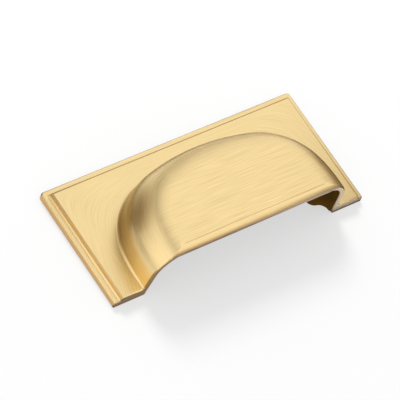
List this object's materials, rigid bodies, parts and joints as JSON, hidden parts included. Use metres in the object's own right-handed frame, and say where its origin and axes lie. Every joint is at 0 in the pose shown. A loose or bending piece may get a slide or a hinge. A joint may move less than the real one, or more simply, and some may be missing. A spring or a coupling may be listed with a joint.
{
  "type": "cup pull",
  "caption": "One-piece cast cup pull: rectangular backplate with a stepped border and a D-shaped finger cup, open below and behind, fixed from behind through tapped bosses.",
  "frame": {"origin": "centre of the backplate's rectangle on its flat back face", "axes": "+X along the length of the backplate, +Y from the open edge of the cup towards its closed side, +Z out of the drawer front, the way the cup projects"},
  "size_m": [0.107, 0.047, 0.022],
  "materials": {
    "satin_brass": "fine brushed satin brass"
  },
  "bodies": {
    "root": {"cup_pull": "satin_brass"}
  },
  "joints": []
}
